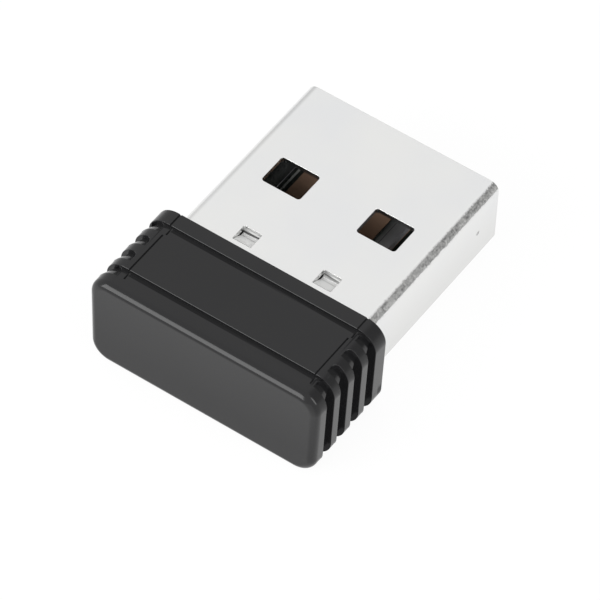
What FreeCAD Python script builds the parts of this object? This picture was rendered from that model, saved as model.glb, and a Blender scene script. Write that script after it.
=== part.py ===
import FreeCAD, Part
import os
import re
import Sketcher

# USB mouse jiggler: a nano dongle that plugs into a computer and reports small
# pointer movements. Nothing on it moves and it has no switch.
#
# Frame: origin where the plug's axis crosses the shoulder that stops it in a
# port. +X across the plug, +Y along the plug towards its tip, +Z up. Millimetres.

doc = FreeCAD.newDocument("mouse_jiggler")

# ---------------------------------------------------------------- dimensions

DIMENSIONS = [
    # the steel plug
    ("plug_width", 12.0),
    ("plug_height", 4.45),
    ("plug_reach", 12.05),
    ("sheet_thickness", 0.3),
    ("bend_radius", 0.55),
    ("shell_seat", 2.2),
    ("tip_chamfer", 0.08),
    ("fold_gap", 0.08),
    ("window_spacing", 5.96),
    ("window_width", 2.42),
    ("window_length", 1.97),
    ("window_corner", 0.18),
    ("window_from_tip", 5.1),
    ("lance_spacing", 5.0),
    ("lance_width", 1.14),
    ("lance_length", 1.07),
    ("lance_drop", 0.46),
    ("lance_lip", 0.2),
    ("lance_setback", 0.1),
    ("lance_corner", 0.1),
    ("lance_from_tip", 10.14),
    # the moulded housing: its width is taken half-way up, and its sides lean out
    ("housing_width", 14.14),
    ("housing_height", 6.05),
    ("housing_depth", 6.21),
    ("axis_height", 3.0),
    ("side_lean", 0.13),
    ("corner_radius", 1.2),
    ("front_edge_radius", 0.4),
    ("rear_edge_radius", 0.06),
    ("front_wall", 1.0),
    ("collar_width", 0.93),
    ("groove_count", 4),
    ("groove_pitch", 1.226),
    ("groove_width", 0.69),
    ("groove_depth", 0.6),
    ("groove_end", 0.6),
    ("wrap_depth", 0.24),
    ("wrap_end_radius", 0.34),
    ("run_out_right", 0.31),
    ("run_out_left", 0.1),
    ("cross_groove_width", 0.44),
    ("cross_groove_depth", 0.13),
    # the side slides of the mould, which met the rest of it a little to the right
    ("slide_offset", 0.1),
    ("parting_width", 0.08),
    ("parting_depth", 0.06),
    ("parting_inset", 1.29),
    ("parting_lap", 0.94),
    ("parting_step_front", 0.14),
    ("parting_step_rear", 0.06),
    ("parting_step_at", 1.7),
    # the plastic inside the plug
    ("nose_setback", 0.35),
    ("nose_length", 0.6),
    ("nose_chamfer", 0.25),
    ("carrier_corner", 0.3),
    ("clamp_length", 2.55),
    ("clamp_from_tip", 9.2),
    ("fit_gap", 0.05),
    # the circuit board and its contact fingers
    ("board_width", 10.4),
    ("board_thickness", 0.8),
    ("board_drop", 0.15),
    ("board_corner", 0.3),
    ("finger_pitch_outer", 7.0),
    ("finger_pitch_inner", 2.0),
    ("finger_width", 1.5),
    ("finger_thickness", 0.06),
    ("finger_corner", 0.3),
    ("finger_end_from_tip", 8.7),
    ("power_finger_length", 7.4),
    ("data_finger_length", 6.4),
    ("land_thickness", 0.05),
    ("land_margin", 0.1),
    # the controller chip
    ("chip_width", 3.0),
    ("chip_length", 3.0),
    ("chip_height", 0.85),
    ("chip_standoff", 0.05),
    ("chip_edge", 0.12),
    ("chip_mark_radius", 0.2),
    ("chip_mark_depth", 0.05),
    ("chip_to_left", 2.4),
    ("chip_to_wall", 1.15),
    ("lead_count", 5),
    ("lead_pitch", 0.5),
    ("lead_width", 0.22),
    ("lead_thickness", 0.15),
    ("lead_shoulder", 0.25),
    ("lead_foot", 0.45),
    ("lead_slope", 0.15),
    # the solder that grounds the shell to the board
    ("solder_height", 0.7),
    ("solder_width", 0.9),
    ("solder_length", 1.2),
    ("solder_behind_shoulder", 1.3),
]

# Places worked out from the dimensions, so that neighbours stay tied together.
TIED = {
    "tip": "plug_reach",
    "inner_half_width": "(plug_width / 2 - sheet_thickness)",
    "inner_half_height": "(plug_height / 2 - sheet_thickness)",
    "inner_radius": "(bend_radius - sheet_thickness)",
    "housing_top": "(housing_height - axis_height)",
    "top_half_width": "(housing_width / 2 + side_lean / 2)",
    "low_half_width": "(housing_width / 2 - side_lean / 2)",
    "top_corner": "(top_half_width - corner_radius * (1 + side_lean / housing_height))",
    "low_corner": "(low_half_width - corner_radius * (1 - side_lean / housing_height))",
    "cavity_end": "(front_wall - housing_depth)",
    "first_groove": "(0 - collar_width)",
    "last_groove": "(0 - collar_width - groove_pitch * (groove_count - 1))",
    "groove_run": "(groove_pitch * (groove_count - 1))",
    "nose_front": "(plug_reach - nose_setback)",
    "notch_front": "(plug_reach - nose_setback - nose_length)",
    "board_top": "(0 - board_drop)",
    "board_bottom": "(0 - board_drop - board_thickness)",
    "clamp_front": "(plug_reach - clamp_from_tip)",
    "lance_end": "(plug_reach - lance_from_tip)",
    "lance_root": "(plug_reach - lance_from_tip - lance_length)",
    "finger_end": "(plug_reach - finger_end_from_tip)",
    "chip_x": "(0 - chip_to_left)",
    "chip_y": "(cavity_end + chip_to_wall + chip_length / 2)",
    "lead_reach": "(lead_shoulder + lead_slope + lead_foot)",
    "land_top": "(board_top + land_thickness)",
}

# Chip components: length, width and height over the end caps, the length of a
# cap, and the centre's place to the right of the axis and ahead of the front wall.
COMPONENTS = {
    "supply_capacitor": (1.6, 0.8, 0.8, 0.3, 1.75, 3.25),
    "core_capacitor": (1.0, 0.5, 0.5, 0.22, 1.45, 2.15),
    "boot_resistor": (1.0, 0.5, 0.35, 0.22, 1.45, 1.25),
}
COMPONENT_SIZES = ("length", "width", "height", "cap", "right", "ahead")


def fill_sheet():
    """Write every driving dimension into the spreadsheet under its alias."""
    sheet = doc.addObject("Spreadsheet::Sheet", "dims")
    rows = list(DIMENSIONS)
    for component, numbers in COMPONENTS.items():
        for size, number in zip(COMPONENT_SIZES, numbers):
            rows.append((component + "_" + size, number))
    for row, (alias, number) in enumerate(rows, start=1):
        sheet.set("A%d" % row, alias)
        sheet.set("B%d" % row, str(number))
        sheet.setAlias("B%d" % row, alias)
    doc.recompute()
    return sheet, {alias for alias, number in rows}


SHEET, ALIASES = fill_sheet()
WORD = re.compile(r"[a-z][a-z_]*")
FUNCTIONS = ("acos",)


def tie(text):
    """Turn plain words for sizes and places into an expression on the sheet."""
    def replace(match):
        word = match.group(0)
        if word in FUNCTIONS:
            return word
        if word in TIED:
            return "(" + tie(TIED[word]) + ")"
        if word not in ALIASES:
            raise KeyError(word)
        return "dims." + word
    return WORD.sub(replace, text)


def value(text):
    """The present number that an expression stands for, in millimetres."""
    return float(SHEET.evalExpression(tie(text)))


# ------------------------------------------------------------ modelling tools

def new_body(name):
    """Start a body whose label is its node's name."""
    body = doc.addObject("PartDesign::Body", name)
    body.Label = name
    return body


def datum(body, role):
    """One of the body's own origin planes or axes."""
    return next(item for item in body.Origin.OriginFeatures if item.Role == role)


def new_sketch(body, role, name, offset="0"):
    """A sketch on an origin plane, moved along the plane's normal."""
    sketch = body.newObject("Sketcher::SketchObject", body.Name + "_" + name)
    sketch.AttachmentSupport = [(datum(body, role), "")]
    sketch.MapMode = "FlatFace"
    sketch.setExpression("AttachmentOffset.Base.z", tie(offset))
    doc.recompute()
    return sketch


def pin(sketch, direction, line, end, text):
    """Hold one end of a line at a distance from the sketch's origin."""
    number = value(text)
    if abs(number) < 1e-9 and text.strip("()") == "0":
        axis = -2 if direction == "DistanceX" else -1
        sketch.addConstraint(Sketcher.Constraint("PointOnObject", line, end, axis))
        return
    index = sketch.addConstraint(Sketcher.Constraint(direction, -1, 1, line, end, number))
    name = "pin%d" % index
    sketch.renameConstraint(index, name)
    sketch.setExpression("Constraints." + name, tie(text))


def polygon(sketch, corners):
    """A closed outline of straight lines through corners given as expressions."""
    points = [FreeCAD.Vector(value(u), value(v), 0) for u, v in corners]
    first = sketch.GeometryCount
    count = len(corners)
    for index in range(count):
        segment = Part.LineSegment(points[index], points[(index + 1) % count])
        sketch.addGeometry(segment, False)
    for index in range(count):
        after = first + (index + 1) % count
        sketch.addConstraint(Sketcher.Constraint("Coincident", first + index, 2, after, 1))
    for index, (u, v) in enumerate(corners):
        pin(sketch, "DistanceX", first + index, 1, u)
        pin(sketch, "DistanceY", first + index, 1, v)


def rectangle(sketch, left, right, low, high):
    """A rectangle between four expressions."""
    polygon(sketch, [(left, low), (right, low), (right, high), (left, high)])


def rounded_rectangle(sketch, left, right, low, high, radius):
    """A rectangle whose corners are tangent arcs of one radius."""
    x_0, x_1, y_0, y_1 = value(left), value(right), value(low), value(high)
    r = value(radius)
    first = sketch.GeometryCount
    runs = [((x_0 + r, y_0), (x_1 - r, y_0)), ((x_1, y_0 + r), (x_1, y_1 - r)),
            ((x_1 - r, y_1), (x_0 + r, y_1)), ((x_0, y_1 - r), (x_0, y_0 + r))]
    centres = [(x_1 - r, y_0 + r), (x_1 - r, y_1 - r), (x_0 + r, y_1 - r), (x_0 + r, y_0 + r)]
    quarter = 1.5707963267948966
    for index, (start, end) in enumerate(runs):
        line = Part.LineSegment(FreeCAD.Vector(*start, 0), FreeCAD.Vector(*end, 0))
        sketch.addGeometry(line, False)
        circle = Part.Circle(FreeCAD.Vector(*centres[index], 0), FreeCAD.Vector(0, 0, 1), r)
        turn = (index - 1) * quarter
        sketch.addGeometry(Part.ArcOfCircle(circle, turn, turn + quarter), False)
    for index in range(4):
        line = first + 2 * index
        arc = line + 1
        after = first + (2 * index + 2) % 8
        sketch.addConstraint(Sketcher.Constraint("Tangent", line, 2, arc, 1))
        sketch.addConstraint(Sketcher.Constraint("Tangent", arc, 2, after, 1))
        level = "Horizontal" if index % 2 == 0 else "Vertical"
        sketch.addConstraint(Sketcher.Constraint(level, line))
        if index > 0:
            sketch.addConstraint(Sketcher.Constraint("Equal", first + 1, arc))
    rounding = sketch.addConstraint(Sketcher.Constraint("Radius", first + 1, r))
    sketch.renameConstraint(rounding, "rounding%d" % rounding)
    sketch.setExpression("Constraints.rounding%d" % rounding, tie(radius))
    pin(sketch, "DistanceY", first, 1, low)
    pin(sketch, "DistanceX", first + 2, 1, right)
    pin(sketch, "DistanceY", first + 4, 1, high)
    pin(sketch, "DistanceX", first + 6, 1, left)


def pad(body, sketch, length, backwards=False, both=False):
    """Raise a sketch by a length, along its normal or against it."""
    feature = body.newObject("PartDesign::Pad", sketch.Name + "_pad")
    feature.Profile = sketch
    feature.SideType = "Symmetric" if both else "One side"
    feature.Reversed = backwards
    feature.setExpression("Length", tie(length))
    doc.recompute()
    return feature


def cut(body, sketch, length, backwards=False, both=False):
    """Cut a sketch into the solid, and make sure that it removed something."""
    before = body.Shape.Volume
    feature = body.newObject("PartDesign::Pocket", sketch.Name + "_cut")
    feature.Profile = sketch
    feature.SideType = "Symmetric" if both else "One side"
    feature.Reversed = backwards
    feature.setExpression("Length", tie(length))
    doc.recompute()
    if not body.Shape.Volume < before - 1e-6:
        raise RuntimeError(feature.Name + " removes nothing")
    return feature


def revolve_cut(body, sketch, angle, backwards=False):
    """Cut a sketch round its own construction line, by an angle."""
    before = body.Shape.Volume
    feature = body.newObject("PartDesign::Groove", sketch.Name + "_turn")
    feature.Profile = sketch
    feature.ReferenceAxis = (sketch, ["Axis0"])
    feature.Reversed = backwards
    feature.setExpression("Angle", tie(angle))
    doc.recompute()
    if not body.Shape.Volume < before - 1e-6:
        raise RuntimeError(feature.Name + " removes nothing")
    return feature


def repeat_along_y(body, feature, name, run, count):
    """Repeat a feature towards -Y, evenly over a run."""
    pattern = body.newObject("PartDesign::LinearPattern", body.Name + "_" + name)
    pattern.Originals = [feature]
    pattern.Direction = (datum(body, "Y_Axis"), [""])
    pattern.Reversed = True
    pattern.setExpression("Length", tie(run))
    pattern.setExpression("Occurrences", tie(count))
    body.Tip = pattern
    doc.recompute()
    return pattern


def mirror_across(body, feature, name, role="YZ_Plane"):
    """Mirror a feature across one of the body's origin planes."""
    mirror = body.newObject("PartDesign::Mirrored", body.Name + "_" + name)
    mirror.Originals = [feature]
    mirror.MirrorPlane = (datum(body, role), [""])
    body.Tip = mirror
    doc.recompute()
    return mirror


def edges(body, wanted):
    """Names of the edges of the body's tip that a test on their box accepts."""
    names = []
    for index, edge in enumerate(body.Tip.Shape.Edges, start=1):
        if wanted(edge.BoundBox):
            names.append("Edge%d" % index)
    if not names:
        raise RuntimeError("no such edge on " + body.Name)
    return names


def same(a, b):
    return abs(a - b) < 1e-5


def round_off(body, name, radius, wanted):
    """Fillet the edges that a test accepts."""
    names = edges(body, wanted)
    feature = body.newObject("PartDesign::Fillet", body.Name + "_" + name)
    feature.Base = (body.Tip if feature.BaseFeature is None else feature.BaseFeature, names)
    feature.setExpression("Radius", tie(radius))
    doc.recompute()
    return feature


def bevel_off(body, name, size, wanted):
    """Chamfer the edges that a test accepts."""
    names = edges(body, wanted)
    feature = body.newObject("PartDesign::Chamfer", body.Name + "_" + name)
    feature.Base = (body.Tip if feature.BaseFeature is None else feature.BaseFeature, names)
    feature.setExpression("Size", tie(size))
    doc.recompute()
    return feature


def along_y(box):
    return box.YLength > 0.5 and same(box.XLength, 0) and same(box.ZLength, 0)


def upright(box):
    return box.ZLength > 1e-3 and same(box.XLength, 0) and same(box.YLength, 0)


# --------------------------------------------------------------- the housing

def make_housing():
    """The moulded cap: rounded block, finger grooves, parting lines, cavity."""
    body = new_body("housing")
    outline = new_sketch(body, "XZ_Plane", "outline")
    polygon(outline, [("0 - low_half_width", "0 - axis_height"),
                      ("low_half_width", "0 - axis_height"),
                      ("top_half_width", "housing_top"),
                      ("0 - top_half_width", "housing_top")])
    pad(body, outline, "housing_depth")
    round_off(body, "long_edges", "corner_radius", along_y)
    front = value("0 - housing_depth")
    round_off(body, "front_edges", "front_edge_radius",
              lambda box: same(box.YMin, front) and same(box.YMax, front))
    round_off(body, "rear_edges", "rear_edge_radius",
              lambda box: same(box.YMin, 0) and same(box.YMax, 0))
    cut_side_grooves(body)
    wrap_grooves(body)
    cut_cross_grooves(body)
    cut_parting_lines(body)
    cut_interior(body)
    return body


def cut_side_grooves(body):
    """Four upright grooves in each short side, which stop short of the corners."""
    profile = new_sketch(body, "XZ_Plane", "side_groove", "collar_width")
    top = "housing_top - groove_end"
    low = "groove_end - axis_height"
    for side in ("", "0 - "):
        foot = side + "(low_half_width - groove_depth)"
        head = side + "(top_half_width - groove_depth)"
        clear = side + "(top_half_width + 1)"
        polygon(profile, [(foot, low), (clear, low), (clear, top), (head, top)])
    groove = cut(body, profile, "groove_width", backwards=True)
    repeat_along_y(body, groove, "side_grooves", "groove_run", "groove_count")


def wrap_grooves(body):
    """Shallow ramps that carry every groove round the corner and run out above it."""
    near = "first_groove - groove_width"
    reaches = []
    for name, side, up in (("right_above", 1, 1), ("left_above", -1, 1),
                           ("right_below", 1, -1), ("left_below", -1, -1)):
        middle = "top_corner" if up > 0 else "low_corner"
        height = "(housing_top - corner_radius)" if up > 0 else "(corner_radius - axis_height)"
        sign = "" if side > 0 else "0 - "
        run_out = "run_out_right" if side > 0 else "run_out_left"
        rim = middle + " + corner_radius"
        ramp = new_sketch(body, "XY_Plane", "wrap_" + name, height)
        polygon(ramp, [(sign + "(%s - wrap_depth)" % rim, "first_groove"),
                       (sign + "(%s)" % rim, near),
                       (sign + "(%s + 1)" % rim, near),
                       (sign + "(%s + 1)" % rim, "first_groove")])
        place_x = value(sign + middle)
        line = ramp.addGeometry(Part.LineSegment(
            FreeCAD.Vector(place_x, -1, 0), FreeCAD.Vector(place_x, 1, 0)), True)
        pin(ramp, "DistanceX", line, 1, sign + middle)
        pin(ramp, "DistanceX", line, 2, sign + middle)
        turn = revolve_cut(body, ramp, "acos(%s / corner_radius)" % run_out,
                           backwards=side * up > 0)
        repeat_along_y(body, turn, "wraps_" + name, "groove_run", "groove_count")
        reaches.append(value(middle + " + " + run_out))
    walls = [value("first_groove - groove_pitch * %d" % index)
             for index in range(int(value("groove_count")))]

    def at_run_out(box):
        at_wall = any(same(box.YMin, wall) and same(box.YMax, wall) for wall in walls)
        outermost = max(abs(box.XMin), abs(box.XMax))
        return at_wall and any(abs(outermost - reach) < 0.01 for reach in reaches)

    round_off(body, "run_outs", "wrap_end_radius", at_run_out)


def cut_cross_grooves(body):
    """The first and last grooves go on over the top and underside, as ramps."""
    section = new_sketch(body, "YZ_Plane", "cross_groove")
    near = "first_groove - cross_groove_width"
    for level, deep, clear in (
            ("housing_top", "housing_top - cross_groove_depth", "housing_top + parting_depth"),
            ("0 - axis_height", "cross_groove_depth - axis_height",
             "0 - axis_height - parting_depth")):
        polygon(section, [("first_groove", deep), (near, level),
                          (near, clear), ("first_groove", clear)])
    groove = cut(body, section, "housing_width + 1", both=True)
    repeat_along_y(body, groove, "cross_grooves", "groove_run", "2")


def cut_parting_lines(body):
    """Fine lines along the top and underside, left by the mould's side slides."""
    faces = (("parting_above", "housing_top", False), ("parting_below", "0 - axis_height", True))
    half = "parting_width / 2"
    step_front = "0 - parting_step_at"
    runs = (("parting_step_front", "parting_lap - housing_depth", "last_groove - parting_width"),
            ("0", "last_groove", step_front),
            ("parting_step_front", step_front + " + parting_width", "first_groove - parting_width"),
            ("OUT * parting_step_rear", "first_groove", "parting_width"))
    for name, level, upwards in faces:
        lines = new_sketch(body, "XY_Plane", name, level)
        for out in ("1", "(0 - 1)"):
            centre = "slide_offset + %s * (housing_width / 2 - parting_inset)" % out
            for step, start, end in runs:
                middle = centre + " + " + step.replace("OUT", out)
                rectangle(lines, middle + " - " + half, middle + " + " + half, start, end)
        cut(body, lines, "parting_depth", backwards=upwards)


def cut_interior(body):
    """The socket that grips the shell, and the narrower room behind it."""
    socket = new_sketch(body, "XZ_Plane", "socket")
    rounded_rectangle(socket, "0 - plug_width / 2", "plug_width / 2",
                      "0 - plug_height / 2", "plug_height / 2", "bend_radius - fit_gap")
    cut(body, socket, "shell_seat", backwards=True)
    room = new_sketch(body, "XZ_Plane", "room", "shell_seat")
    rounded_rectangle(room, "0 - inner_half_width", "inner_half_width",
                      "0 - inner_half_height", "inner_half_height", "inner_radius")
    cut(body, room, "0 - shell_seat - cavity_end", backwards=True)


# ------------------------------------------------------------- the steel plug

def make_plug_shell():
    """Folded sheet: a rounded tube with windows, lances and a seam underneath."""
    body = new_body("plug_shell")
    outside = new_sketch(body, "XZ_Plane", "outside", "shell_seat")
    rectangle(outside, "0 - plug_width / 2", "plug_width / 2",
              "0 - plug_height / 2", "plug_height / 2")
    pad(body, outside, "shell_seat + plug_reach", backwards=True)
    round_off(body, "bends", "bend_radius", along_y)
    tip = value("tip")
    bevel_off(body, "tip_edge", "tip_chamfer",
              lambda box: same(box.YMin, tip) and same(box.YMax, tip))
    inside = new_sketch(body, "XZ_Plane", "inside", "shell_seat")
    rounded_rectangle(inside, "0 - inner_half_width", "inner_half_width",
                      "0 - inner_half_height", "inner_half_height", "inner_radius")
    cut(body, inside, "shell_seat + plug_reach + 1")
    cut_windows(body)
    press_lances(body)
    open_fold(body)
    return body


def cut_windows(body):
    """Two latch windows through the upper face and two through the lower one."""
    holes = new_sketch(body, "XY_Plane", "windows")
    for side in ("0 + ", "0 - "):
        centre = side + "window_spacing / 2"
        rounded_rectangle(holes, centre + " - window_width / 2", centre + " + window_width / 2",
                          "tip - window_from_tip - window_length", "tip - window_from_tip",
                          "window_corner")
    cut(body, holes, "plug_height + 1", both=True)


def press_lances(body):
    """Two tongues near the housing, sheared at their tip side and pressed down."""
    slots = new_sketch(body, "XY_Plane", "lance_slots", "inner_half_height")
    for side in ("0 + ", "0 - "):
        centre = side + "lance_spacing / 2"
        rectangle(slots, centre + " - lance_width / 2", centre + " + lance_width / 2",
                  "lance_root", "lance_end")
    cut(body, slots, "sheet_thickness + 1", backwards=True)
    shear = value("lance_end")
    low = value("inner_half_height")
    round_off(body, "lance_corners", "lance_corner",
              lambda box: upright(box) and same(box.YMin, shear) and same(box.ZMin, low))
    section = new_sketch(body, "YZ_Plane", "lance", "lance_spacing / 2 - lance_width / 2")
    lip_end = "lance_end - lance_setback"
    crease = "lance_end - lance_setback - lance_lip"
    polygon(section, [("lance_root", "plug_height / 2"),
                      ("lance_root", "inner_half_height"),
                      (crease, "inner_half_height - lance_drop"),
                      (lip_end, "inner_half_height - lance_drop"),
                      (lip_end, "plug_height / 2 - lance_drop"),
                      (crease, "plug_height / 2 - lance_drop")])
    tongue = pad(body, section, "lance_width")
    mirror_across(body, tongue, "lances")


def open_fold(body):
    """The butt seam of the folded sheet runs the whole length underneath."""
    seam = new_sketch(body, "XY_Plane", "fold", "0 - plug_height / 2")
    rectangle(seam, "0 - fold_gap / 2", "fold_gap / 2", "0 - shell_seat - 1", "tip + 1")
    cut(body, seam, "sheet_thickness + fold_gap", backwards=True)


# ------------------------------------------------- the plastic inside the plug

def make_contact_carrier():
    """The tongue: a trough that holds the board, closed by a nose at the mouth."""
    body = new_body("contact_carrier")
    section = new_sketch(body, "XZ_Plane", "section", "0 - nose_front")
    rectangle(section, "0 - inner_half_width", "inner_half_width",
              "0 - inner_half_height", "board_top")
    pad(body, section, "nose_front - cavity_end")
    low = value("0 - inner_half_height")
    round_off(body, "low_edges", "carrier_corner",
              lambda box: along_y(box) and same(box.ZMin, low))
    front = value("nose_front")
    top = value("board_top")
    bevel_off(body, "nose_edge", "nose_chamfer",
              lambda box: same(box.YMin, front) and same(box.YMax, front) and same(box.ZMin, top))
    trough = new_sketch(body, "XY_Plane", "trough", "board_top")
    rectangle(trough, "0 - board_width / 2 - fit_gap", "board_width / 2 + fit_gap",
              "cavity_end - 1", "notch_front")
    cut(body, trough, "board_thickness")
    return body


def make_board_clamp():
    """The block over the board that fills the shell and takes the two lances."""
    body = new_body("board_clamp")
    section = new_sketch(body, "XZ_Plane", "section", "0 - clamp_front")
    rectangle(section, "0 - inner_half_width", "inner_half_width",
              "board_top", "inner_half_height")
    pad(body, section, "clamp_length")
    high = value("inner_half_height")
    round_off(body, "high_edges", "carrier_corner",
              lambda box: along_y(box) and same(box.ZMin, high))
    pockets = new_sketch(body, "XY_Plane", "lance_pockets", "inner_half_height")
    for side in ("0 + ", "0 - "):
        centre = side + "lance_spacing / 2"
        rectangle(pockets, centre + " - lance_width / 2 - fit_gap",
                  centre + " + lance_width / 2 + fit_gap",
                  "lance_root - fit_gap", "lance_end + fit_gap")
    cut(body, pockets, "lance_drop + fit_gap")
    return body


# ------------------------------------------------------- the board and fingers

def make_circuit_board():
    """The board lies in the carrier's trough, from the nose to the front wall."""
    body = new_body("circuit_board")
    outline = new_sketch(body, "XY_Plane", "outline", "board_bottom")
    rectangle(outline, "0 - board_width / 2", "board_width / 2",
              "cavity_end + fit_gap", "notch_front - fit_gap")
    pad(body, outline, "board_thickness")
    round_off(body, "corners", "board_corner", upright)
    return body


def make_finger(name, centre, length):
    """One plated contact finger on the board's upper face."""
    body = new_body(name)
    outline = new_sketch(body, "XY_Plane", "outline", "board_top")
    rectangle(outline, centre + " - finger_width / 2", centre + " + finger_width / 2",
              "finger_end", "finger_end + " + length)
    pad(body, outline, "finger_thickness")
    round_off(body, "corners", "finger_corner", upright)
    return body


def make_fingers():
    """Power and ground outside, longer; the data pair inside, shorter."""
    return [
        make_finger("power_contact", "0 + finger_pitch_outer / 2", "power_finger_length"),
        make_finger("data_minus_contact", "0 + finger_pitch_inner / 2", "data_finger_length"),
        make_finger("data_plus_contact", "0 - finger_pitch_inner / 2", "data_finger_length"),
        make_finger("ground_contact", "0 - finger_pitch_outer / 2", "power_finger_length"),
    ]


# ------------------------------------------------------------- the electronics

def place(body, across, along, height):
    """Bind where a body's own origin lies in the dongle's frame."""
    body.setExpression("Placement.Base.x", tie(across))
    body.setExpression("Placement.Base.y", tie(along))
    body.setExpression("Placement.Base.z", tie(height))
    doc.recompute()


def make_controller():
    """The moulded body of the controller, with a moulded dot at its first lead."""
    body = new_body("controller")
    outline = new_sketch(body, "XY_Plane", "outline", "chip_standoff")
    rectangle(outline, "0 - chip_width / 2", "chip_width / 2",
              "0 - chip_length / 2", "chip_length / 2")
    pad(body, outline, "chip_height")
    top = value("chip_standoff + chip_height")
    bevel_off(body, "top_edges", "chip_edge",
              lambda box: same(box.ZMin, top) and same(box.ZMax, top))
    mark = new_sketch(body, "XY_Plane", "mark", "chip_standoff + chip_height")
    inset = "2 * chip_mark_radius + chip_edge"
    rounded_rectangle(mark, inset + " - chip_width / 2 - chip_mark_radius",
                      inset + " - chip_width / 2 + chip_mark_radius",
                      "chip_length / 2 - " + inset.replace("+", "-") + " - chip_mark_radius",
                      "chip_length / 2 - " + inset.replace("+", "-") + " + chip_mark_radius",
                      "chip_mark_radius * 0.98")
    cut(body, mark, "chip_mark_depth")
    place(body, "chip_x", "chip_y", "land_top")
    return body


def make_controller_leads():
    """Gull-wing leads, five on each side, from the chip's flanks to their lands."""
    body = new_body("controller_leads")
    body.AllowCompound = True
    section = new_sketch(body, "XZ_Plane", "section", "0 - (lead_count - 1) * lead_pitch / 2")
    flank = "chip_width / 2"
    bend = flank + " + lead_shoulder"
    foot = bend + " + lead_slope"
    shoulder_top = "chip_standoff + chip_height / 2 + lead_thickness / 2"
    shoulder_low = "chip_standoff + chip_height / 2 - lead_thickness / 2"
    outline = [(flank, shoulder_low),
               (bend + " - lead_thickness / 2", shoulder_low),
               (foot + " - lead_thickness / 2", "0"),
               (foot + " + lead_foot", "0"),
               (foot + " + lead_foot", "lead_thickness"),
               (foot + " + lead_thickness / 2", "lead_thickness"),
               (bend + " + lead_thickness / 2", shoulder_top),
               (flank, shoulder_top)]
    polygon(section, outline)
    polygon(section, [("0 - (%s)" % across, up) for across, up in outline])
    lead = pad(body, section, "lead_width", both=True)
    repeat_along_y(body, lead, "row", "(lead_count - 1) * lead_pitch", "lead_count")
    place(body, "chip_x", "chip_y", "land_top")
    return body


def make_component(name):
    """A chip component: its ceramic block, and the metal caps on its two ends."""
    block = new_body(name)
    outline = new_sketch(block, "XY_Plane", "outline", "fit_gap / 2")
    rectangle(outline, name + "_cap - " + name + "_length / 2",
              name + "_length / 2 - " + name + "_cap",
              "fit_gap / 2 - " + name + "_width / 2", name + "_width / 2 - fit_gap / 2")
    pad(block, outline, name + "_height - fit_gap")
    caps = new_body(name + "_ends")
    caps.AllowCompound = True
    footprint = new_sketch(caps, "XY_Plane", "footprint")
    for near, far in (("0 - NAME_length / 2", "NAME_cap - NAME_length / 2"),
                      ("NAME_length / 2 - NAME_cap", "NAME_length / 2")):
        rectangle(footprint, near.replace("NAME", name), far.replace("NAME", name),
                  "0 - " + name + "_width / 2", name + "_width / 2")
    pad(caps, footprint, name + "_height")
    for body in (block, caps):
        place(body, name + "_right", "cavity_end + " + name + "_ahead", "land_top")
    return [block, caps]


def make_land(parts, across, along, width, length):
    """One copper land, a thin box centred under what is soldered to it."""
    land = doc.addObject("Part::Box", "land%d" % len(parts))
    land.setExpression("Length", tie(width))
    land.setExpression("Width", tie(length))
    land.setExpression("Height", tie("land_thickness"))
    land.setExpression("Placement.Base.x", tie("%s - (%s) / 2" % (across, width)))
    land.setExpression("Placement.Base.y", tie("%s - (%s) / 2" % (along, length)))
    land.setExpression("Placement.Base.z", tie("board_top"))
    parts.append(land)


def make_board_lands():
    """Copper lands under the leads' feet and the components' end caps."""
    lands = []
    foot_centre = "(chip_width / 2 + lead_reach - lead_foot / 2)"
    for side in ("chip_x + ", "chip_x - "):
        for index in range(int(value("lead_count"))):
            row = "chip_y + (%d - (lead_count - 1) / 2) * lead_pitch" % index
            make_land(lands, side + foot_centre, row,
                      "lead_foot + 2 * land_margin", "lead_width")
    for name in COMPONENTS:
        for side in ("+", "-"):
            across = "{0}_right {1} ({0}_length / 2 - {0}_cap / 2 + land_margin / 2)"
            make_land(lands, across.format(name, side), "cavity_end + %s_ahead" % name,
                      name + "_cap + land_margin", name + "_width")
    group = doc.addObject("Part::Compound", "board_lands")
    group.Label = "board_lands"
    group.Links = lands
    doc.recompute()
    return group


def wedge_pair(sketch, across, reach, height):
    """Two solder fillets in section, against the two ends of what they hold."""
    for side in ("+", "-"):
        end = "%s %s (%s)" % (across, side, reach)
        toe = "%s %s (%s + land_margin)" % (across, side, reach)
        waist = "%s %s (%s + land_margin / 3)" % (across, side, reach)
        polygon(sketch, [(end, "0"), (toe, "0"), (waist, height + " / 3"), (end, height)])


def make_component_solder():
    """The solder fillets at the toes of the leads and the ends of the components."""
    body = new_body("component_solder")
    body.AllowCompound = True
    toes = new_sketch(body, "XZ_Plane", "toes", "0 - (lead_count - 1) * lead_pitch / 2")
    wedge_pair(toes, "0", "chip_width / 2 + lead_reach", "lead_thickness")
    fillet = pad(body, toes, "lead_width", both=True)
    repeat_along_y(body, fillet, "toe_row", "(lead_count - 1) * lead_pitch", "lead_count")
    for name in COMPONENTS:
        level = "chip_y - cavity_end - %s_ahead" % name
        ends = new_sketch(body, "XZ_Plane", name, level)
        wedge_pair(ends, name + "_right - chip_x", name + "_length / 2",
                   name + "_height * 0.6")
        pad(body, ends, name + "_width", both=True)
    place(body, "chip_x", "chip_y", "land_top")
    return body


def make_shell_solder():
    """Two solder beads that ground the shell's walls to the board's edges."""
    body = new_body("shell_solder")
    body.AllowCompound = True
    section = new_sketch(body, "XZ_Plane", "section",
                         "solder_behind_shoulder - solder_length / 2")
    polygon(section, [("inner_half_width", "board_top"),
                      ("inner_half_width", "board_top + solder_height"),
                      ("inner_half_width - solder_width / 4", "board_top + solder_height / 2"),
                      ("inner_half_width - solder_width", "board_top")])
    bead = pad(body, section, "solder_length")
    mirror_across(body, bead, "pair")
    return body


# -------------------------------------------------------------------- assembly

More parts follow.
